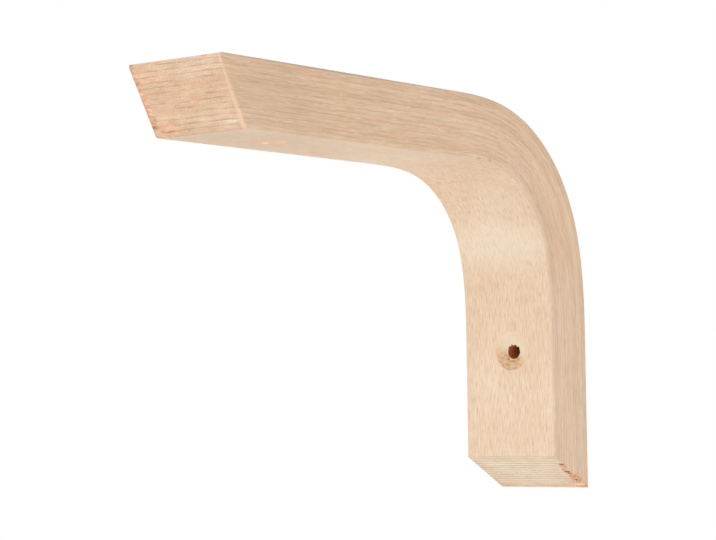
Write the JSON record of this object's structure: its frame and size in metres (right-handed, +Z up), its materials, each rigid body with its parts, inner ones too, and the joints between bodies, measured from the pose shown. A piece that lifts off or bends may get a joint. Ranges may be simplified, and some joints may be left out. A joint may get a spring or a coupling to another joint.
{
  "type": "shelf bracket",
  "caption": "Bentwood shelf bracket of laminated beech, a bent strip with bevelled ends and countersunk screw holes.",
  "frame": {"origin": "on the flat back face of the leg, on its centre line, 24 mm above the foot's lowest edge", "axes": "+Z up, +Y into the wall, -Y out along the arm, +X across the width"},
  "size_m": [0.036, 0.1893, 0.13],
  "materials": {
    "beech": "sanded, unfinished laminated beech with sawn ends"
  },
  "bodies": {
    "root": {"bracket": "beech"}
  },
  "joints": []
}
